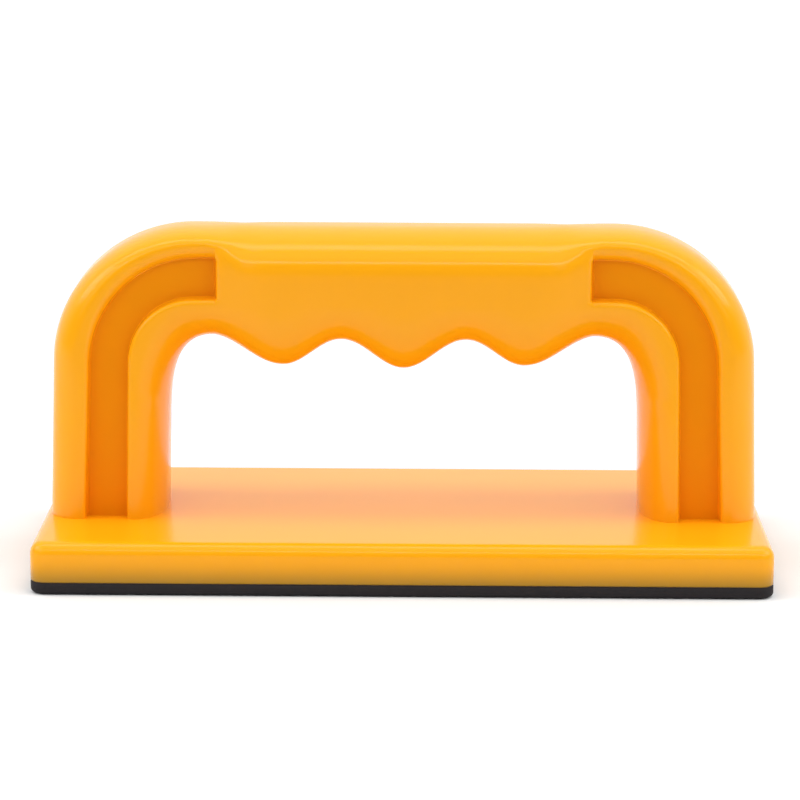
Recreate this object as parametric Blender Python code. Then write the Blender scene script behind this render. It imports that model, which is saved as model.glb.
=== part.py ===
"""A small hand float: a ribbed base plate, a two-part hollow D handle and a bonded rubber sole.

Metres, +Z up. The origin is under the middle of the sole, on the surface that the float rests on.
+X runs along the handle and -Y is the front.
"""

import math

import bmesh
import bpy
from mathutils import Matrix, Vector

MM = 0.001

# ---- driving dimensions ----
LENGTH = 168.0 * MM
DEPTH = 76.0 * MM
CORNER_R = 3.5 * MM
SOLE_T = 2.0 * MM
SOLE_EDGE_R = 0.9 * MM
FILM_T = 0.3 * MM
FILM_INSET = 0.4 * MM
BOND_GAP = 0.2 * MM
PLATE_T = 9.1 * MM
PLATE_EDGE_R = 2.9 * MM
JOINT_GAP = 0.3 * MM

PLATE_Z = SOLE_T + FILM_T + 2 * BOND_GAP
TOP_Z = PLATE_Z + PLATE_T

# Coring under the plate
RIM = 3.0 * MM
SKIN = 2.6 * MM
RIB = 1.8 * MM
POCKETS_X = 10
POCKETS_Y = 5
PAD_X = 62.0 * MM
PAD_Y = 22.0 * MM

# Handle, in its own plane: x from the middle, z from the top of the plate.
# Each outline is (half width at the foot, splay, top, corner reach x, corner reach z, corner power).
OUTER = (82.1 * MM, 0.024, 66.9 * MM, 31.8 * MM, 30.2 * MM, 2.0)
CHANNEL_OUTER = (73.6 * MM, 0.030, 61.6 * MM, 25.5 * MM, 25.5 * MM, 2.05)
CHANNEL_INNER = (64.0 * MM, 0.014, 52.2 * MM, 14.5 * MM, 14.5 * MM, 2.0)
INNER = (56.0 * MM, 0.026, 41.9 * MM, 12.3 * MM, 21.1 * MM, 2.87)
HUB_X = 45.1 * MM
HUB_Z = 25.7 * MM

# Finger bumps on the grip: (x, z) of the turning points from the corner to the middle
BUMPS = ((45.1 * MM, 41.9 * MM), (27.8 * MM, 35.5 * MM), (14.4 * MM, 41.5 * MM), (0.0, 34.8 * MM))

# Half the handle's depth: it narrows from the foot to the grip's ends and swells at the grip
DEPTH_FOOT = 15.9 * MM
DEPTH_TOP = 12.2 * MM
DEPTH_GRIP = 15.2 * MM
SHOULDER_SHARE = 0.42
SWELL_X = 46.0 * MM
SWELL_LENGTH = 16.0 * MM
CHANNEL_DEPTH = 3.6 * MM
CHANNEL_DRAFT = 0.35 * MM
CHANNEL_END_X = 43.0 * MM
WALL = 2.6 * MM
SEAM_GAP = 0.15 * MM
FOOT_WALL = 3.4 * MM

# Edge rounding: (across the section, along Y, how far the outer rib stands back)
EDGE_LEG = (7.0 * MM, 8.0 * MM, 0.0)
EDGE_RIB = (3.4 * MM, 10.5 * MM, 0.8 * MM)
EDGE_GRIP = (9.2 * MM, 13.9 * MM, 0.0)
EDGE_INNER = (6.5 * MM, 7.0 * MM)
EDGE_STEPS = 3

# Stations along half the handle: how many in the leg, corner and grip, and the corner's shift.
# The cavity's stations stay clear of the shell's, so that their edges never meet.
SHELL_STEPS = (3, 11, 16, 0.0)
CAVITY_STEPS = (2, 9, 13, 0.4)

# Screws
SCREW_CLEAR = 0.3 * MM
BASE_SCREW_X = 69.0 * MM
BASE_SCREW_Y = 6.2 * MM
BASE_SHANK_R = 1.6 * MM
BASE_SHANK_L = 17.0 * MM
BASE_HEAD_R = 3.5 * MM
BASE_HEAD_H = 2.3 * MM
BASE_SEAT_Z = PLATE_Z + 3.5 * MM
BASE_BOSS_R = 4.3 * MM
BASE_BOSS_H = 16.0 * MM
SHELL_SHANK_R = 1.4 * MM
SHELL_SHANK_L = 13.0 * MM
SHELL_HEAD_R = 3.0 * MM
SHELL_HEAD_H = 2.0 * MM
SHELL_SEAT_Y = 6.5 * MM
SHELL_BOSS_R = 5.0 * MM
LEG_SCREW_Z = 24.0 * MM
CORNER_SCREW_ANGLE = math.radians(60)
ROUND_SIDES = 20


# ---- scene and materials ----
def clear_scene():
    for old in list(bpy.data.objects):
        bpy.data.objects.remove(old, do_unlink=True)


def plastic(name, colour, roughness, metallic=0.0):
    material = bpy.data.materials.new(name)
    material.use_nodes = True
    shader = material.node_tree.nodes["Principled BSDF"]
    shader.inputs["Base Color"].default_value = (*colour, 1.0)
    shader.inputs["Roughness"].default_value = roughness
    shader.inputs["Metallic"].default_value = metallic
    material.diffuse_color = (*colour, 1.0)
    return material


def add_object(name, bm, material=None):
    bmesh.ops.recalc_face_normals(bm, faces=bm.faces[:])
    mesh = bpy.data.meshes.new(name)
    bm.to_mesh(mesh)
    bm.free()
    if material:
        mesh.materials.append(material)
        mesh.shade_smooth()
        mesh.set_sharp_from_angle(angle=math.radians(35))
    thing = bpy.data.objects.new(name, mesh)
    bpy.context.scene.collection.objects.link(thing)
    return thing


def add_cutter(name, bm):
    cutter = add_object(name, bm)
    cutter.hide_render = True
    cutter.display_type = "WIRE"
    return cutter


def boolean(thing, cutter):
    modifier = thing.modifiers.new(cutter.name, "BOOLEAN")
    modifier.object = cutter
    modifier.operation = "DIFFERENCE"
    modifier.solver = "EXACT"


# ---- lofting ----
def skin(bm, rings):
    """Joins closed rings of points into one closed solid with flat ends."""
    rows = [[bm.verts.new(point) for point in ring] for ring in rings]
    for low, high in zip(rows, rows[1:]):
        count = len(low)
        for i in range(count):
            j = (i + 1) % count
            bm.faces.new((low[i], low[j], high[j], high[i]))
    bm.faces.new(rows[0][::-1])
    bm.faces.new(rows[-1])


def rounded_rectangle(half_x, half_y, radius, z, steps=5):
    points = []
    for quarter, (sx, sy) in enumerate(((1, 1), (-1, 1), (-1, -1), (1, -1))):
        for i in range(steps + 1):
            angle = math.pi / 2 * (quarter + i / steps)
            x = sx * (half_x - radius) + radius * math.cos(angle)
            y = sy * (half_y - radius) + radius * math.sin(angle)
            points.append(Vector((x, y, z)))
    return points


def cylinder(bm, radius, start, end):
    """A solid round bar between two points."""
    axis = end - start
    turn = Vector((0, 0, 1)).rotation_difference(axis).to_matrix().to_4x4()
    place = Matrix.Translation((start + end) / 2) @ turn
    bmesh.ops.create_cone(bm, cap_ends=True, segments=ROUND_SIDES, radius1=radius, radius2=radius,
                          depth=axis.length, matrix=place)


def block(bm, low, high):
    centre = (low + high) / 2
    size = high - low
    matrix = Matrix.Translation(centre) @ Matrix.Diagonal((*size, 1.0))
    bmesh.ops.create_cube(bm, size=1.0, matrix=matrix)


# ---- the handle's outlines ----
def inside(outline, x, z):
    half_width, splay, top, reach_x, reach_z, power = outline
    across = max(0.0, (x - half_width + splay * z + reach_x) / reach_x)
    up = max(0.0, (z - top + reach_z) / reach_z)
    return across ** power + up ** power < 1.0


def reach(outline, base, direction):
    """How far the outline lies from base, by halving."""
    near, far = 0.0, LENGTH
    for _ in range(36):
        middle = (near + far) / 2
        if inside(outline, base[0] + middle * direction[0], base[1] + middle * direction[1]):
            near = middle
        else:
            far = middle
    return near


def grip_underside(x):
    """Height of the grip's lower edge: half cosine waves between the bumps' turning points."""
    x = abs(x)
    for (x1, z1), (x2, z2) in zip(BUMPS, BUMPS[1:]):
        if x >= x2:
            share = (x1 - x) / (x1 - x2)
            return z1 + (z2 - z1) * (1 - math.cos(math.pi * share)) / 2
    return BUMPS[-1][1]


def station(position):
    """One section of half the handle: 0 is the foot, 1 the shoulder, 2 the grip's end, 3 the middle.

    Returns the base point, the direction outwards, and the distances of the four outlines.
    """
    if position <= 1:
        base, direction = (0.0, HUB_Z * position), (1.0, 0.0)
    elif position <= 2:
        angle = math.pi / 2 * (position - 1)
        base, direction = (HUB_X, HUB_Z), (math.cos(angle), math.sin(angle))
    else:
        base, direction = (HUB_X * (3 - position), 0.0), (0.0, 1.0)
    distances = [reach(o, base, direction) for o in (INNER, CHANNEL_INNER, CHANNEL_OUTER, OUTER)]
    if position > 2:
        distances[0] = grip_underside(base[0])
    return base, direction, distances


def ease(value):
    value = min(1.0, max(0.0, value))
    return value * value * (3 - 2 * value)


def blend(first, second, share):
    return [a + (b - a) * share for a, b in zip(first, second)]


def grip_share(position, length):
    """0 before the grip's swell starts and 1 once it has run its length."""
    return ease((SWELL_X - HUB_X * (3 - position)) / length) if position > 2 else 0.0


def half_depth(position):
    if position <= 1:
        share = SHOULDER_SHARE * position
    else:
        share = min(1.0, SHOULDER_SHARE + (1 - SHOULDER_SHARE) * (position - 1))
    narrow = DEPTH_FOOT + (DEPTH_TOP - DEPTH_FOOT) * share
    return narrow + (DEPTH_GRIP - narrow) * grip_share(position, SWELL_LENGTH)


def outer_edge(position):
    rib = blend(EDGE_LEG, EDGE_RIB, ease(position - 1))
    return blend(rib, EDGE_GRIP, grip_share(position, 0.6 * SWELL_LENGTH))


def outer_ring(position, open_channel):
    """The section's front half as (distance, y), from the seam round the front and back to the seam."""
    _, _, (inner, channel_in, channel_out, outer) = station(position)
    across, along, back = outer_edge(position)
    face = half_depth(position)
    depth = CHANNEL_DEPTH if open_channel else 0.0
    ring = [(outer, -SEAM_GAP)]
    for i in range(EDGE_STEPS + 1):
        angle = math.pi / 2 * i / EDGE_STEPS
        ring.append((outer - across * (1 - math.cos(angle)),
                     -face + back + along * (1 - math.sin(angle))))
    lip = min(channel_out, outer - across - 0.4 * MM)
    bottom = face - depth
    ring += [(lip, -face + back), (lip - CHANNEL_DRAFT, -bottom)]
    ring += [(channel_in + CHANNEL_DRAFT, -bottom), (channel_in, -face)]
    across, along = EDGE_INNER
    for i in range(EDGE_STEPS, -1, -1):
        angle = math.pi / 2 * i / EDGE_STEPS
        ring.append((inner + across * (1 - math.cos(angle)), -face + along * (1 - math.sin(angle))))
    ring.append((inner, -SEAM_GAP))
    return ring


def cavity_ring(position, open_channel):
    _, _, (inner, _, _, outer) = station(position)
    front = half_depth(position) - WALL - (CHANNEL_DEPTH if open_channel else 0.0)
    low_chamfer = 3.0 * MM
    chamfer = low_chamfer * (1 + grip_share(position, SWELL_LENGTH))
    low, high = inner + WALL, outer - WALL
    return [(high, MM), (high, -front + chamfer), (high - chamfer, -front),
            (low + low_chamfer, -front), (low, -front + low_chamfer), (low, MM)]


def place(position, ring, side, rear):
    base, direction, _ = station(position)
    flip = -1 if rear else 1
    return [Vector((side * (base[0] + distance * direction[0]), flip * y,
                    TOP_Z + base[1] + distance * direction[1])) for distance, y in ring]


def half_positions(start, end_x, steps):
    """Stations from start up to the middle, with a pair on either side of the channel's end."""
    leg_steps, corner_steps, grip_steps, shift = steps
    end = 3 - end_x / HUB_X
    pair = 0.15 * MM / HUB_X
    legs = [start + (1 - start) * i / leg_steps for i in range(leg_steps)]
    corner = [1 + (i + shift) / corner_steps for i in range(corner_steps)]
    grip = [end + pair + (3 - end - pair) * i / grip_steps for i in range(grip_steps + 1)]
    return [(p, True) for p in legs + corner + [end - pair]] + [(p, False) for p in grip]


def handle_solid(section, start, end_x, steps, rear):
    """The whole handle from foot to foot, lofted from a section."""
    half = half_positions(start, end_x, steps)
    rings = [place(p, section(p, is_open), 1, rear) for p, is_open in half]
    rings += [place(p, section(p, is_open), -1, rear) for p, is_open in half[-2::-1]]
    bm = bmesh.new()
    skin(bm, rings)
    bm.normal_update()
    curved = [face for face in bm.faces if 1e-4 < abs(face.normal.y) < 0.9999]
    bmesh.ops.triangulate(bm, faces=curved)
    return bm


def shell_screw_points():
    """(x, z, depth of the channel's floor) of the screws that join the halves, in mid-channel."""
    points = []
    for position in (LEG_SCREW_Z / HUB_Z, 1 + CORNER_SCREW_ANGLE / (math.pi / 2)):
        base, direction, (_, channel_in, channel_out, _) = station(position)
        middle = (channel_in + channel_out) / 2
        points.append((base[0] + middle * direction[0], TOP_Z + base[1] + middle * direction[1],
                       half_depth(position) - CHANNEL_DEPTH))
    return [(side * x, z, floor) for side in (-1, 1) for x, z, floor in points]


def make_shell(name, rear, material):
    flip = -1 if rear else 1
    foot = JOINT_GAP / HUB_Z
    body = handle_solid(outer_ring, foot, CHANNEL_END_X, SHELL_STEPS, rear)
    shell = add_object(name, body, material)
    floor = (JOINT_GAP + FOOT_WALL) / HUB_Z
    solid = handle_solid(cavity_ring, floor, CHANNEL_END_X - WALL, CAVITY_STEPS, rear)
    cavity = add_cutter(name + "_cavity", solid)

    bosses = bmesh.new()
    holes = bmesh.new()
    for x in (-BASE_SCREW_X, BASE_SCREW_X):
        y = -flip * BASE_SCREW_Y
        low = TOP_Z + JOINT_GAP
        cylinder(bosses, BASE_BOSS_R, Vector((x, y, low + MM)), Vector((x, y, low + BASE_BOSS_H)))
        cylinder(holes, BASE_SHANK_R + SCREW_CLEAR, Vector((x, y, low - MM)),
                 Vector((x, y, BASE_SEAT_Z + BASE_SHANK_L + MM)))
    for x, z, floor in shell_screw_points():
        radius = SHELL_BOSS_R if rear else SHELL_BOSS_R - MM
        cylinder(bosses, radius, Vector((x, -flip * 0.4 * MM, z)), Vector((x, -flip * (floor - MM), z)))
        if rear:
            cylinder(holes, SHELL_SHANK_R + SCREW_CLEAR, Vector((x, -MM, z)),
                     Vector((x, SHELL_SEAT_Y + 0.5 * MM, z)))
        else:
            tip = SHELL_SEAT_Y - SHELL_SHANK_L - MM
            cylinder(holes, SHELL_SHANK_R + SCREW_CLEAR, Vector((x, MM, z)), Vector((x, tip, z)))
    boolean(cavity, add_cutter(name + "_bosses", bosses))
    boolean(shell, cavity)
    boolean(shell, add_cutter(name + "_holes", holes))
    if rear:
        recesses = bmesh.new()
        for x, z, floor in shell_screw_points():
            cylinder(recesses, SHELL_HEAD_R + 0.5 * MM, Vector((x, SHELL_SEAT_Y, z)),
                     Vector((x, floor + 2 * MM, z)))
        boolean(shell, add_cutter(name + "_recesses", recesses))


# ---- the plate, film and sole ----
def make_plate(material):
    half_x, half_y = LENGTH / 2, DEPTH / 2
    levels = [(0.0, PLATE_Z)]
    for i in range(5):
        angle = math.pi / 2 * i / 4
        levels.append((PLATE_EDGE_R * (1 - math.cos(angle)),
                       TOP_Z - PLATE_EDGE_R * (1 - math.sin(angle))))
    bm = bmesh.new()
    skin(bm, [rounded_rectangle(half_x - inset, half_y - inset, max(CORNER_R - inset, 0.6 * MM), z)
              for inset, z in levels])
    plate = add_object("base_plate", bm, material)

    pockets = bmesh.new()
    size_x = (LENGTH - 2 * RIM - (POCKETS_X - 1) * RIB) / POCKETS_X
    size_y = (DEPTH - 2 * RIM - (POCKETS_Y - 1) * RIB) / POCKETS_Y
    for i in range(POCKETS_X):
        for j in range(POCKETS_Y):
            x = -half_x + RIM + i * (size_x + RIB)
            y = -half_y + RIM + j * (size_y + RIB)
            if abs(x + size_x / 2) > PAD_X and abs(y + size_y / 2) < PAD_Y:
                continue
            block(pockets, Vector((x, y, PLATE_Z - MM)), Vector((x + size_x, y + size_y, TOP_Z - SKIN)))
    boolean(plate, add_cutter("base_plate_pockets", pockets))

    holes = bmesh.new()
    seats = bmesh.new()
    for x, y in base_screw_points():
        cylinder(holes, BASE_SHANK_R + SCREW_CLEAR, Vector((x, y, PLATE_Z)), Vector((x, y, TOP_Z + MM)))
        cylinder(seats, BASE_HEAD_R + 0.5 * MM, Vector((x, y, PLATE_Z - MM)), Vector((x, y, BASE_SEAT_Z)))
    boolean(plate, add_cutter("base_plate_holes", holes))
    boolean(plate, add_cutter("base_plate_seats", seats))


def base_screw_points():
    return [(x, y) for x in (-BASE_SCREW_X, BASE_SCREW_X) for y in (-BASE_SCREW_Y, BASE_SCREW_Y)]


def make_film(material):
    bm = bmesh.new()
    low = SOLE_T + BOND_GAP
    skin(bm, [rounded_rectangle(LENGTH / 2 - FILM_INSET, DEPTH / 2 - FILM_INSET, CORNER_R - FILM_INSET, z)
              for z in (low, low + FILM_T)])
    add_object("sole_adhesive", bm, material)


def make_sole(material):
    levels = []
    for i in range(4):
        angle = math.pi / 2 * i / 3
        levels.append((SOLE_EDGE_R * (1 - math.sin(angle)), SOLE_EDGE_R * (1 - math.cos(angle))))
    levels.append((0.0, SOLE_T))
    bm = bmesh.new()
    skin(bm, [rounded_rectangle(LENGTH / 2 - inset, DEPTH / 2 - inset, CORNER_R - inset, z)
              for inset, z in levels])
    add_object("sole_pad", bm, material)


# ---- screws ----
def make_screw(name, head_r, head_h, shank_r, shank_l, location, direction, material):
    """A pan-head screw with a cross recess; its seat is at the origin and it points along +Z."""
    levels = [(0.55 * head_r, -head_h), (0.85 * head_r, -0.85 * head_h), (head_r, -0.5 * head_h),
              (head_r, 0.0), (shank_r, 0.0), (shank_r, shank_l - 2 * shank_r), (0.3 * shank_r, shank_l)]
    bm = bmesh.new()
    rings = []
    for radius, z in levels:
        rings.append([Vector((radius * math.cos(a), radius * math.sin(a), z)) for a in
                      [2 * math.pi * i / ROUND_SIDES for i in range(ROUND_SIDES)]])
    skin(bm, rings)
    screw = add_object(name, bm, material)
    recess = bmesh.new()
    arm, slot, floor = 0.5 * head_r, 0.14 * head_r, -0.45 * head_h
    profile = [(arm, -slot), (arm, slot), (slot, slot), (slot, arm), (-slot, arm), (-slot, slot),
               (-arm, slot), (-arm, -slot), (-slot, -slot), (-slot, -arm), (slot, -arm), (slot, -slot)]
    skin(recess, [[Vector((x, y, z)) for x, y in profile] for z in (-head_h - MM, floor)])
    cutter = add_cutter(name + "_recess", recess)
    cutter.parent = screw
    boolean(screw, cutter)
    screw.location = location
    screw.rotation_mode = "QUATERNION"
    screw.rotation_quaternion = Vector((0, 0, 1)).rotation_difference(direction)


def make_screws(material):
    for i, (x, y) in enumerate(base_screw_points(), 1):
        make_screw(f"base_screw_{i}", BASE_HEAD_R, BASE_HEAD_H, BASE_SHANK_R, BASE_SHANK_L,
                   Vector((x, y, BASE_SEAT_Z - SCREW_CLEAR)), Vector((0, 0, 1)), material)
    for i, (x, z, _) in enumerate(shell_screw_points(), 1):
        make_screw(f"shell_screw_{i}", SHELL_HEAD_R, SHELL_HEAD_H, SHELL_SHANK_R, SHELL_SHANK_L,
                   Vector((x, SHELL_SEAT_Y + SCREW_CLEAR, z)), Vector((0, -1, 0)), material)


def main():
    clear_scene()
    abs_yellow = plastic("abs_yellow", (0.92, 0.38, 0.012), 0.3)
    rubber = plastic("black_rubber", (0.03, 0.028, 0.03), 0.75)
    adhesive = plastic("adhesive_film", (0.25, 0.16, 0.07), 0.5)
    steel = plastic("zinc_steel", (0.6, 0.6, 0.62), 0.35, 1.0)
    make_plate(abs_yellow)
    make_shell("handle_front_shell", False, abs_yellow)
    make_shell("handle_rear_shell", True, abs_yellow)
    make_film(adhesive)
    make_sole(rubber)
    make_screws(steel)


main()
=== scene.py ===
"""The looks of a small rubber-soled hand float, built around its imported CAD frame.

Metres, +Z up, in the CAD's own frame: X along the handle, -Y the front. Places and sizes are worked out
from the CAD nodes' boxes and the few outline values below.
"""
import math

import bpy
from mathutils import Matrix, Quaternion, Vector


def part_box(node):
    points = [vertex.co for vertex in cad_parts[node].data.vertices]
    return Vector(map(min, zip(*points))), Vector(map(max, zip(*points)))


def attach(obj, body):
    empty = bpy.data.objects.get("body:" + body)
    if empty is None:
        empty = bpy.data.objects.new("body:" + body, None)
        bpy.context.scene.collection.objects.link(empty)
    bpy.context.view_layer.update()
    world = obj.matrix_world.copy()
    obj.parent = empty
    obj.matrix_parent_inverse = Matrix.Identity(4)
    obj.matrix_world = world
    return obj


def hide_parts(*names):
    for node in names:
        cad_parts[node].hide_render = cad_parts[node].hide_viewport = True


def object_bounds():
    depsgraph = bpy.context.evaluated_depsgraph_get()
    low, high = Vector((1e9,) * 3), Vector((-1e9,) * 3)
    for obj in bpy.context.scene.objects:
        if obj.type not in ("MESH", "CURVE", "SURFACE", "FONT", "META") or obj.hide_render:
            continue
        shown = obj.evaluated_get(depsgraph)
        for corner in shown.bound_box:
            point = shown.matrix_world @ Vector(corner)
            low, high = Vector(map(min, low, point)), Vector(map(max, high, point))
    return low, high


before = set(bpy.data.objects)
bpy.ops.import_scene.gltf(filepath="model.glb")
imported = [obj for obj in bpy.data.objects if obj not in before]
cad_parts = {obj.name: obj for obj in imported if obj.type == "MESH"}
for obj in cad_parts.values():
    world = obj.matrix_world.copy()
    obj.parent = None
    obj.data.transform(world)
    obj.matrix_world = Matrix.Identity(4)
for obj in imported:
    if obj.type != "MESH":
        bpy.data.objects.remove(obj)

MM = 0.001
cad_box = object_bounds()

# ---- sizes from the frame ----
plate_low, plate_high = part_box("base_plate")
shell_low, shell_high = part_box("handle_front_shell")
PLATE_Z = plate_low.z
TOP_Z = plate_high.z
HALF_X = plate_high.x
HALF_Y = plate_high.y
HANDLE_TOP = shell_high.z - TOP_Z
DEPTH_FOOT = -shell_low.y

# ---- plate, film and sole ----
CORNER_R = 3.5 * MM
LEAST_CORNER_R = 0.6 * MM
CORNER_STEPS = 14
PLATE_EDGE_R = 2.9 * MM
PLATE_EDGE_STEPS = 12
PLATE_FOOT_CHAMFER = 0.25 * MM
FILM_INSET = 0.25 * MM
FILM_BELOW_PLATE = 0.01 * MM
FILM_T = 0.12 * MM
SOLE_BELOW_PLATE = 0.14 * MM
SOLE_CHAMFER = 0.15 * MM
SOLE_EDGE_R = 0.9 * MM
SOLE_EDGE_STEPS = 8

# ---- the handle's outlines, in its own plane: x from the middle, z from the top of the plate ----
# (half width at the foot, splay, top, corner reach x, corner reach z, corner power)
OUTER = (82.1 * MM, 0.024, HANDLE_TOP, 31.8 * MM, 30.2 * MM, 2.0)
CHANNEL_OUTER = (73.6 * MM, 0.030, 60.4 * MM, 24.5 * MM, 24.5 * MM, 2.05)
CHANNEL_INNER = (63.9 * MM, 0.014, 51.0 * MM, 14.5 * MM, 14.5 * MM, 2.0)
INNER = (55.3 * MM, 0.026, 41.8 * MM, 12.3 * MM, 21.1 * MM, 2.87)
HUB_X = 45.1 * MM
HUB_Z = 25.7 * MM

# Finger bumps on the grip: (x, z) of the turning points from the corner to the middle
BUMPS = ((45.1 * MM, 41.8 * MM), (27.8 * MM, 35.5 * MM), (14.4 * MM, 41.5 * MM), (0.0, 34.8 * MM))

# Half the handle's depth: it narrows from the foot to the grip's ends and swells at the grip
DEPTH_TOP = 12.2 * MM
DEPTH_GRIP = 15.2 * MM
SHOULDER_SHARE = 0.42
SWELL_X = 46.0 * MM
SWELL_LENGTH = 16.0 * MM
SEAM_GAP = 0.02 * MM

# The channel along the legs and round the corners
CHANNEL_DEPTH = 3.6 * MM
CHANNEL_DRAFT = 0.2 * MM
CHANNEL_END_X = 43.2 * MM
WEB_FILLET = 0.45 * MM
LIP_LEG = 0.9 * MM
LIP_TOP = 2.7 * MM
LIP_INNER = 1.0 * MM
LIP_END = 1.4 * MM
LEAST_WALL = 0.1 * MM

# Rounding of the outer edge: across the section, along Y, power, how far the outer rib stands back
EDGE_LEG = (7.0 * MM, 8.0 * MM, 2.0, 0.0)
EDGE_RIB = (3.4 * MM, 10.5 * MM, 2.0, 0.8 * MM)
EDGE_GRIP = (9.2 * MM, 13.9 * MM, 2.0, 0.0)
RIB_STEP_RUN = 4.0 * MM
# Rounding of the opening's edge in the legs and under the grip: across the section, along Y
EDGE_INNER = (8.0 * MM, 13.5 * MM)
EDGE_UNDER = (12.0 * MM, 7.0 * MM)
LEAST_FLAT = 0.3 * MM

# Points and stations of the handle's mesh
EDGE_POINTS = 16
LIP_POINTS = 10
FILLET_POINTS = 4
WALL_POINTS = 7
LEG_STATIONS = 10
CORNER_STATIONS = 56
GRIP_STATIONS = 84

# Wells over the shell screws
WELL_R = 3.5 * MM
WELL_DEPTH = 15.0 * MM
WELL_SIDES = 64
SCREW_SEAT = 2.3 * MM


# ---- mesh helpers ----
def mesh_object(name, points, faces, material, smooth_angle=40):
    mesh = bpy.data.meshes.new(name)
    mesh.from_pydata([tuple(p) for p in points], [], faces)
    mesh.validate()
    mesh.materials.append(material)
    mesh.shade_smooth()
    mesh.set_sharp_from_angle(angle=math.radians(smooth_angle))
    thing = bpy.data.objects.new(name, mesh)
    bpy.context.scene.collection.objects.link(thing)
    return thing


def loft(rings):
    """Points and faces of a closed solid through rings that run counter-clockwise seen from its end."""
    count = len(rings[0])
    points = [p for ring in rings for p in ring]
    faces = []
    for r in range(len(rings) - 1):
        for i in range(count):
            j = (i + 1) % count
            faces.append((r * count + i, r * count + j, (r + 1) * count + j, (r + 1) * count + i))
    faces.append(tuple(range(count - 1, -1, -1)))
    faces.append(tuple((len(rings) - 1) * count + i for i in range(count)))
    return points, faces


def rounded_rectangle(half_x, half_y, radius, z):
    points = []
    for quarter, (sx, sy) in enumerate(((1, 1), (-1, 1), (-1, -1), (1, -1))):
        for i in range(CORNER_STEPS + 1):
            angle = math.pi / 2 * (quarter + i / CORNER_STEPS)
            points.append((sx * (half_x - radius) + radius * math.cos(angle),
                           sy * (half_y - radius) + radius * math.sin(angle), z))
    return points


def quarter_turn(steps):
    """Angles from 0 to a right angle in equal steps."""
    return [math.pi / 2 * i / steps for i in range(steps + 1)]


def ease(value):
    value = min(1.0, max(0.0, value))
    return value * value * (3 - 2 * value)


def blend(first, second, share):
    return [a + (b - a) * share for a, b in zip(first, second)]


def spread(first, last, count):
    """count values strictly between first and last."""
    return [first + (last - first) * (i + 1) / (count + 1) for i in range(count)]


# ---- handle outlines ----
def inside(outline, x, z):
    half_width, splay, top, reach_x, reach_z, power = outline
    across = max(0.0, (x - half_width + splay * z + reach_x) / reach_x)
    up = max(0.0, (z - top + reach_z) / reach_z)
    return across ** power + up ** power < 1.0


def reach(outline, base, direction):
    """How far the outline lies from base, by halving."""
    near, far = 0.0, 2 * HALF_X
    for _ in range(44):
        middle = (near + far) / 2
        if inside(outline, base[0] + middle * direction[0], base[1] + middle * direction[1]):
            near = middle
        else:
            far = middle
    return near


def grip_underside(x):
    """Height of the grip's lower edge: half cosine waves between the bumps' turning points."""
    for (x1, z1), (x2, z2) in zip(BUMPS, BUMPS[1:]):
        if x >= x2:
            share = (x1 - x) / (x1 - x2)
            return z1 + (z2 - z1) * (1 - math.cos(math.pi * share)) / 2
    return BUMPS[-1][1]


def station(position):
    """One section of half the handle: 0 is the foot, 1 the shoulder, 2 the grip's end, 3 the middle."""
    if position <= 1:
        base, direction = (0.0, HUB_Z * position), (1.0, 0.0)
    elif position <= 2:
        angle = math.pi / 2 * (position - 1)
        base, direction = (HUB_X, HUB_Z), (math.cos(angle), math.sin(angle))
    else:
        base, direction = (HUB_X * (3 - position), 0.0), (0.0, 1.0)
    distances = [reach(o, base, direction) for o in (INNER, CHANNEL_INNER, CHANNEL_OUTER, OUTER)]
    if position > 2:
        distances[0] = grip_underside(base[0])
    return base, direction, distances


def grip_share(position, length):
    """0 before the grip's swell starts and 1 once it has run its length."""
    return ease((SWELL_X - HUB_X * (3 - position)) / length) if position > 2 else 0.0


def channel_end_share(position):
    """0 where the channel runs and 1 where the grip's own edge has taken over from the rib."""
    return ease((position - 1.98) / 0.24)


def half_depth(position):
    if position <= 1:
        share = SHOULDER_SHARE * position
    else:
        share = min(1.0, SHOULDER_SHARE + (1 - SHOULDER_SHARE) * (position - 1))
    narrow = DEPTH_FOOT + (DEPTH_TOP - DEPTH_FOOT) * share
    return narrow + (DEPTH_GRIP - narrow) * grip_share(position, SWELL_LENGTH)


def outer_edge(position):
    rib = blend(EDGE_LEG, EDGE_RIB, ease(position - 1))
    return blend(rib, EDGE_GRIP, grip_share(position, 0.6 * SWELL_LENGTH))


def inner_edge(position):
    return blend(EDGE_INNER, EDGE_UNDER, ease((position - 1.2) / 1.2))


# ---- handle sections ----
def wall_profile(lip, depth):
    """(across, depth) over a flat face's rounded lip, down a drafted wall and into the floor's fillet."""
    pairs = []
    for angle in quarter_turn(WALL_POINTS):
        pairs.append((-lip * (1 - math.sin(angle)), lip * (1 - math.cos(angle))))
    for angle in quarter_turn(WALL_POINTS):
        pairs.append((CHANNEL_DRAFT + WEB_FILLET * (1 - math.cos(angle)),
                      depth - WEB_FILLET * (1 - math.sin(angle))))
    return pairs


def edge_arc(edge, clipped, outer, front):
    """Points from the flank round the outer edge, as far in as clipped."""
    across, along, power, _ = edge
    end = math.acos(max(0.0, 1 - clipped / across) ** (power / 2))
    points = []
    for i in range(EDGE_POINTS + 1):
        angle = end * i / EDGE_POINTS
        points.append((outer - across * (1 - math.cos(angle) ** (2 / power)),
                       front + along * (1 - math.sin(angle) ** (2 / power))))
    return points


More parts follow.
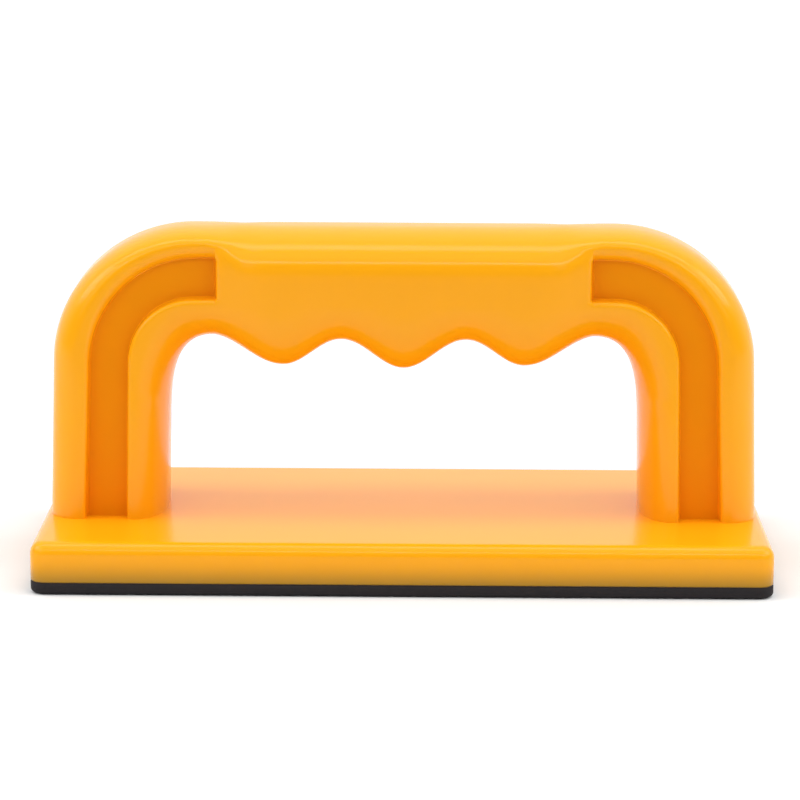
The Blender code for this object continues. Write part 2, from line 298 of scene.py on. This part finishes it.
def rib_profile(edge, clipped, outer, front, wall, lip, floor):
    """(distance, y) round the outer rib: flank, rounded edge, rolled lip, wall and floor fillet."""
    profile = edge_arc((clipped, *edge[1:]), clipped, outer, front)
    profile += [(d, front) for d in spread(outer - clipped, wall + lip, 2)]
    rolled = min(lip, floor - front - LEAST_WALL)
    for angle in quarter_turn(LIP_POINTS):
        profile.append((wall + lip * (1 - math.sin(angle)), front + rolled * (1 - math.cos(angle))))
    fillet = min(WEB_FILLET, floor - front - rolled)
    for angle in quarter_turn(FILLET_POINTS):
        profile.append((wall - CHANNEL_DRAFT - fillet * (1 - math.cos(angle)),
                        floor - fillet * (1 - math.sin(angle))))
    return profile


def inner_profile(edge, inner, front, wall, floor):
    """(distance, y) from the channel's floor over the inner rib to the opening's flank."""
    profile = [(wall + u, front + d) for u, d in wall_profile(LIP_INNER, floor - front)[::-1]]
    across, along = edge
    across = min(across, profile[-1][0] - LEAST_FLAT - inner)
    profile += [(d, front) for d in spread(profile[-1][0], inner + across, 3)]
    for angle in quarter_turn(EDGE_POINTS)[::-1]:
        profile.append((inner + across * (1 - math.cos(angle)), front + along * (1 - math.sin(angle))))
    return profile


def uncut_face(gap, edge, clipped, face, swell):
    """Y of the face without the channel, at gap from the outer flank: the edge's own curve, then flat."""
    across, along, power, back = edge
    pulled = 0.0
    if gap < across:
        pulled = along * (1 - max(0.0, 1 - (1 - gap / across) ** power) ** (1 / power))
    return -face + back * max(0.0, 1 - max(0.0, gap - clipped) / RIB_STEP_RUN) + pulled * swell


def front_ring(position, share):
    """The front half's closed section as (distance, y, on the web); share is how much channel is cut."""
    _, _, (inner, channel_in, channel_out, outer) = station(position)
    edge = outer_edge(position)
    face = half_depth(position)
    front = -face + edge[3]
    floor = -face + CHANNEL_DEPTH
    lip = LIP_LEG + (LIP_TOP - LIP_LEG) * ease((position - 1) / 0.9)
    clipped = min(edge[0], outer - channel_out - lip)
    outer_part = rib_profile(edge, clipped, outer, front, channel_out, lip, floor)
    inner_part = inner_profile(inner_edge(position), inner, -face, channel_in, floor)
    web = [(d, floor) for d in spread(outer_part[-1][0], inner_part[0][0], 5)]
    cut = outer_part + web + inner_part

    arc = edge_arc(edge, clipped, outer, front)
    swell = channel_end_share(position)
    step = (arc[-1][1] - front) * swell
    first_web = len(outer_part)
    last_web = first_web + len(web)
    first_flank = len(cut) - len(arc)
    ring = []
    for i, (d, y) in enumerate(cut):
        if i < len(arc):
            d += (arc[i][0] - d) * swell
            y += (arc[i][1] - y) * swell
            plain = y
        else:
            plain = uncut_face(outer - d, edge, clipped, face, swell) if i < first_flank else y
            y += step * max(0.0, 1 - (i - EDGE_POINTS) / (LIP_POINTS + 3))
        from_web = max(first_web - i, i - last_web + 1, 0)
        on_web = from_web <= FILLET_POINTS + 1 and share > 0.1
        ring.append((d, plain + (y - plain) * share, on_web))
    start = [(outer, y, False) for y in [-SEAM_GAP] + spread(-SEAM_GAP, ring[0][1], 3)]
    finish = [(inner, y, False) for y in spread(ring[-1][1], -SEAM_GAP, 3) + [-SEAM_GAP]]
    return start + ring + finish


def half_stations():
    """(position, share of the channel's depth) from the foot to the middle."""
    stations = [(i / LEG_STATIONS, 1.0) for i in range(LEG_STATIONS)]
    stations += [(1 + i / CORNER_STATIONS, 1.0) for i in range(CORNER_STATIONS + 1)]
    for u, depth in wall_profile(LIP_END, CHANNEL_DEPTH)[::-1]:
        stations.append((3 - (CHANNEL_END_X + u) / HUB_X, depth / CHANNEL_DEPTH))
    last = stations[-1][0]
    stations += [(last + (3 - last) * i / GRIP_STATIONS, 0.0) for i in range(1, GRIP_STATIONS + 1)]
    return stations


# ---- pieces ----
def make_shell(name, rear, material, web):
    flip = -1 if rear else 1
    rings = []
    on_web = []
    half = [(position, front_ring(position, share)) for position, share in half_stations()]
    whole = [(1, *section) for section in half] + [(-1, *section) for section in half[-2::-1]]
    for side, position, ring in whole:
        base, direction, _ = station(position)
        rings.append([(side * (base[0] + d * direction[0]), flip * y, TOP_Z + base[1] + d * direction[1])
                      for d, y, _ in ring])
        on_web += [web_point for _, _, web_point in ring]
    points, faces = loft(rings)
    if rear:
        faces = [f[::-1] for f in faces]
    shell = mesh_object(name, points, faces, material)
    shell.data.materials.append(web)
    for polygon in shell.data.polygons:
        if all(on_web[i] for i in polygon.vertices):
            polygon.material_index = 1
    return shell


def sink_screws(shell, material):
    """Round wells in the rear shell, from the screws' seats out through its back."""
    turns = [2 * math.pi * i / WELL_SIDES for i in range(WELL_SIDES)]
    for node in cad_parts:
        if not node.startswith("shell_screw_"):
            continue
        low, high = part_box(node)
        x, z = (low.x + high.x) / 2, (low.z + high.z) / 2
        seat = high.y - SCREW_SEAT
        rings = [[(x + WELL_R * math.cos(t), y, z - WELL_R * math.sin(t)) for t in turns]
                 for y in (seat + WELL_DEPTH, seat)]
        points, faces = loft(rings)
        cutter = mesh_object("well", points, [f[::-1] for f in faces], material)
        cut = shell.modifiers.new("well", "BOOLEAN")
        cut.operation = "DIFFERENCE"
        cut.solver = "EXACT"
        cut.object = cutter
        bpy.context.view_layer.objects.active = shell
        bpy.ops.object.modifier_apply(modifier=cut.name)
        bpy.data.objects.remove(cutter)
    shell.data.set_sharp_from_angle(angle=math.radians(40))


def make_slab(name, levels, material):
    """A plate-shaped solid through (inset, z) levels of the plate's rounded outline."""
    rings = [rounded_rectangle(HALF_X - inset, HALF_Y - inset, max(CORNER_R - inset, LEAST_CORNER_R), z)
             for inset, z in levels]
    return mesh_object(name, *loft(rings), material, 50)


def make_plate(name, material):
    levels = [(PLATE_FOOT_CHAMFER, PLATE_Z), (0.0, PLATE_Z + PLATE_FOOT_CHAMFER)]
    for angle in quarter_turn(PLATE_EDGE_STEPS):
        levels.append((PLATE_EDGE_R * (1 - math.cos(angle)), TOP_Z - PLATE_EDGE_R * (1 - math.sin(angle))))
    return make_slab(name, levels, material)


def make_sole(name, material):
    top = PLATE_Z - SOLE_BELOW_PLATE
    levels = []
    for angle in quarter_turn(SOLE_EDGE_STEPS):
        levels.append((SOLE_EDGE_R * (1 - math.sin(angle)), SOLE_EDGE_R * (1 - math.cos(angle))))
    levels += [(0.0, top - SOLE_CHAMFER), (SOLE_CHAMFER, top)]
    return make_slab(name, levels, material)


def make_film(name, material):
    top = PLATE_Z - FILM_BELOW_PLATE
    return make_slab(name, [(FILM_INSET, top - FILM_T), (FILM_INSET, top)], material)


# ---- materials ----
def new_material(name):
    """A material with its nodes, links, shader and object coordinates."""
    material = bpy.data.materials.new(name)
    material.use_nodes = True
    nodes = material.node_tree.nodes
    place = nodes.new("ShaderNodeTexCoord").outputs["Object"]
    return material, nodes, material.node_tree.links, nodes["Principled BSDF"], place


def noise(nodes, links, place, scale, detail=2.0):
    node = nodes.new("ShaderNodeTexNoise")
    node.inputs["Scale"].default_value = scale
    node.inputs["Detail"].default_value = detail
    links.new(place, node.inputs["Vector"])
    return node.outputs["Fac"]


def map_range(nodes, links, value, low, high):
    node = nodes.new("ShaderNodeMapRange")
    node.inputs["To Min"].default_value = low
    node.inputs["To Max"].default_value = high
    links.new(value, node.inputs["Value"])
    return node.outputs["Result"]


def smooth_step(nodes, links, value, start, end):
    """0 before start and 1 after end."""
    node = nodes.new("ShaderNodeMapRange")
    node.interpolation_type = "SMOOTHSTEP"
    node.inputs["From Min"].default_value = start
    node.inputs["From Max"].default_value = end
    links.new(value, node.inputs["Value"])
    return node


def mix_colours(nodes, links, factor, first, second):
    node = nodes.new("ShaderNodeMix")
    node.data_type = "RGBA"
    node.inputs["A"].default_value = (*first, 1.0)
    node.inputs["B"].default_value = (*second, 1.0)
    links.new(factor, node.inputs["Factor"])
    return node


def along_axis(nodes, links, place, axis):
    axes = nodes.new("ShaderNodeSeparateXYZ")
    links.new(place, axes.inputs["Vector"])
    return axes.outputs[axis]


def grain(nodes, links, shader, height, strength, distance):
    bump = nodes.new("ShaderNodeBump")
    bump.inputs["Strength"].default_value = strength
    bump.inputs["Distance"].default_value = distance
    links.new(height, bump.inputs["Height"])
    links.new(bump.outputs["Normal"], shader.inputs["Normal"])


def yellow_plastic(name, foot=None):
    """Glossy moulded plastic. With foot, its colour is painted darker and browner towards that height,
    where the sole starts: painted contact shade near the floor.
    """
    material, nodes, links, shader, place = new_material(name)
    mottle = noise(nodes, links, place, 45.0, 3.0)
    colour = mix_colours(nodes, links, mottle, (0.96, 0.395, 0.003), (0.98, 0.410, 0.005)).outputs["Result"]
    if foot is not None:
        # painted contact shade: the colour turns dark brown towards the plate's foot and is the plain
        # plastic above it
        height = along_axis(nodes, links, place, "Z")
        fade = smooth_step(nodes, links, height, foot - 2.0 * MM, foot + 5.8 * MM)
        painted_contact_shade = mix_colours(nodes, links, fade.outputs["Result"], (0.33, 0.19, 0.012), (1.0, 1.0, 1.0))
        links.new(colour, painted_contact_shade.inputs["B"])
        colour = painted_contact_shade.outputs["Result"]
    links.new(colour, shader.inputs["Base Color"])
    rough = map_range(nodes, links, noise(nodes, links, place, 320.0), 0.15, 0.20)
    links.new(rough, shader.inputs["Roughness"])
    grain(nodes, links, shader, noise(nodes, links, place, 2600.0), 0.05, 0.03 * MM)
    shader.inputs["IOR"].default_value = 1.34
    return material


def web_plastic(name):
    """The same plastic on the channels' floors, which keep the duller skin of the mould's insert, with a
    darker, more orange colour painted in as the recesses' shade.
    """
    material, nodes, links, shader, place = new_material(name)
    mottle = noise(nodes, links, place, 45.0, 3.0)
    # painted recess shade: the floors' colour is darker and more orange than the faces' plastic
    colour = mix_colours(nodes, links, mottle, (0.85, 0.280, 0.002), (0.87, 0.290, 0.003))
    links.new(colour.outputs["Result"], shader.inputs["Base Color"])
    rough = map_range(nodes, links, noise(nodes, links, place, 320.0), 0.30, 0.38)
    links.new(rough, shader.inputs["Roughness"])
    shader.inputs["IOR"].default_value = 1.40
    shader.inputs["Specular IOR Level"].default_value = 0.06
    return material


def black_rubber(name):
    material, nodes, links, shader, place = new_material(name)
    specks = noise(nodes, links, place, 900.0, 4.0)
    colour = mix_colours(nodes, links, specks, (0.010, 0.008, 0.009), (0.018, 0.014, 0.016))
    links.new(colour.outputs["Result"], shader.inputs["Base Color"])
    rough = map_range(nodes, links, noise(nodes, links, place, 500.0), 0.62, 0.8)
    links.new(rough, shader.inputs["Roughness"])
    shader.inputs["Specular IOR Level"].default_value = 0.3
    grain(nodes, links, shader, noise(nodes, links, place, 1400.0, 4.0), 0.35, 0.1 * MM)
    return material


def adhesive_film(name):
    material, nodes, links, shader, place = new_material(name)
    mottle = noise(nodes, links, place, 120.0, 3.0)
    colour = mix_colours(nodes, links, mottle, (0.10, 0.06, 0.025), (0.16, 0.10, 0.045))
    links.new(colour.outputs["Result"], shader.inputs["Base Color"])
    shader.inputs["Roughness"].default_value = 0.5
    return material


def zinc_steel(name):
    material, nodes, links, shader, place = new_material(name)
    mottle = noise(nodes, links, place, 400.0, 3.0)
    colour = mix_colours(nodes, links, mottle, (0.50, 0.50, 0.52), (0.68, 0.67, 0.66))
    links.new(colour.outputs["Result"], shader.inputs["Base Color"])
    shader.inputs["Metallic"].default_value = 1.0
    rough = map_range(nodes, links, noise(nodes, links, place, 900.0), 0.22, 0.42)
    links.new(rough, shader.inputs["Roughness"])
    return material


def pale_floor(name):
    """Pale paper, painted grey well in front of the object as painted shade, and glowing a little far
    behind it as painted light.
    """
    material, nodes, links, shader, place = new_material(name)
    depth = along_axis(nodes, links, place, "Y")
    # painted shade: the floor turns grey in front of the object, so the object's lower faces reflect it
    # darker
    near = smooth_step(nodes, links, depth, -0.50, -0.18)
    colour = mix_colours(nodes, links, near.outputs["Result"], (0.42, 0.42, 0.42), (0.86, 0.86, 0.86))
    links.new(colour.outputs["Result"], shader.inputs["Base Color"])
    # painted light: the far floor glows so that it stays bright white
    glow = smooth_step(nodes, links, depth, 0.15, 1.1)
    links.new(glow.outputs["Result"], shader.inputs["Emission Color"])
    shader.inputs["Emission Strength"].default_value = 0.55
    shader.inputs["Roughness"].default_value = 0.8
    shader.inputs["Specular IOR Level"].default_value = 0.0
    return material


# ---- the float ----
yellow = yellow_plastic("yellow_abs")
plate_yellow = yellow_plastic("yellow_abs_plate_painted_shade", PLATE_Z)
web_yellow = web_plastic("yellow_abs_web_painted_shade")
steel = zinc_steel("zinc_steel")

plate = make_plate("plate_moulding", plate_yellow)
front_shell = make_shell("front_shell_moulding", False, yellow, web_yellow)
rear_shell = make_shell("rear_shell_moulding", True, yellow, web_yellow)
sink_screws(rear_shell, yellow)
sole = make_sole("rubber_sole", black_rubber("black_rubber"))
film = make_film("bond_film", adhesive_film("adhesive_film"))

pieces = [
    (plate, "base_plate", "yellow_plastic"),
    (front_shell, "handle_front_shell", "yellow_plastic"),
    (rear_shell, "handle_rear_shell", "yellow_plastic"),
    (sole, "sole_pad", "black_rubber"),
    (film, "sole_adhesive", "adhesive"),
]
for piece, node, slot in pieces:
    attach(piece, "root")
    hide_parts(node)
for name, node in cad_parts.items():
    if "_screw_" in name:
        node.data.materials.clear()
        node.data.materials.append(steel)

# ---- floor ----
FLOOR_REACH = 6.0
FLOOR_DROP = 0.2 * MM
corners = [(FLOOR_REACH * x, FLOOR_REACH * y, 0) for x, y in ((-1, -1), (1, -1), (1, 1), (-1, 1))]
floor_mesh = bpy.data.meshes.new("floor")
floor_mesh.from_pydata(corners, [], [(0, 1, 2, 3)])
floor_mesh.materials.append(pale_floor("pale_floor"))
floor = bpy.data.objects.new("floor", floor_mesh)
bpy.context.scene.collection.objects.link(floor)
floor.location.z = cad_box[0].z - FLOOR_DROP

# ---- light ----
LIGHT_TARGET = Vector((0.0, 0.0, 0.06))


def area_light(name, location, size_x, size_y, power):
    data = bpy.data.lights.new(name, "AREA")
    data.shape = "RECTANGLE"
    data.size = size_x
    data.size_y = size_y
    data.energy = power
    light = bpy.data.objects.new(name, data)
    bpy.context.scene.collection.objects.link(light)
    light.location = location
    light.rotation_mode = "QUATERNION"
    light.rotation_quaternion = (LIGHT_TARGET - Vector(location)).to_track_quat("-Z", "Y")


def make_world():
    """A white room that is dim in front of the object and bright behind it."""
    world = bpy.data.worlds.new("studio")
    bpy.context.scene.world = world
    world.use_nodes = True
    nodes, links = world.node_tree.nodes, world.node_tree.links
    direction = nodes.new("ShaderNodeTexCoord").outputs["Generated"]
    backdrop = smooth_step(nodes, links, along_axis(nodes, links, direction, "Y"), -0.5, 0.6)
    backdrop.inputs["To Min"].default_value = 0.16
    backdrop.inputs["To Max"].default_value = 0.95
    links.new(backdrop.outputs["Result"], nodes["Background"].inputs["Strength"])
    nodes["Background"].inputs["Color"].default_value = (1.0, 1.0, 1.0, 1.0)


area_light("softbox_top", (0.0, -0.02, 1.2), 2.2, 0.34, 7.0)
area_light("softbox_front", (0.0, -0.55, 1.1), 2.2, 0.5, 2.8)
area_light("strip_front", (0.0, -1.0, 0.90), 2.2, 0.12, 4.7)
for side in (-1, 1):
    area_light(f"softbox_side_{side}", (side * 1.3, -0.2, 0.9), 1.0, 0.6, 5.8)
    area_light(f"softbox_fill_{side}", (side * 1.0, -1.1, 0.75), 0.7, 0.8, 1.5)
make_world()

# ---- camera ----
LENS = 139.5
SENSOR_WIDTH = 36.0
CAMERA_PLACE = (6.58 * MM, -710.15 * MM, TOP_Z + 182.5 * MM)
PITCH, YAW, ROLL = 0.21792, -0.01052, 0.00399

camera_data = bpy.data.cameras.new("camera")
camera_data.sensor_width = SENSOR_WIDTH
camera_data.lens = LENS
camera_data.clip_start = 0.01
camera_data.clip_end = 50.0
camera = bpy.data.objects.new("camera", camera_data)
bpy.context.scene.collection.objects.link(camera)
forward = Vector((math.sin(YAW) * math.cos(PITCH), math.cos(YAW) * math.cos(PITCH), -math.sin(PITCH)))
camera.location = CAMERA_PLACE
camera.rotation_mode = "QUATERNION"
camera.rotation_quaternion = Quaternion(forward, -ROLL) @ forward.to_track_quat("-Z", "Y")
bpy.context.scene.camera = camera

bpy.context.scene.view_settings.view_transform = "Standard"
bpy.context.scene.view_settings.look = "None"
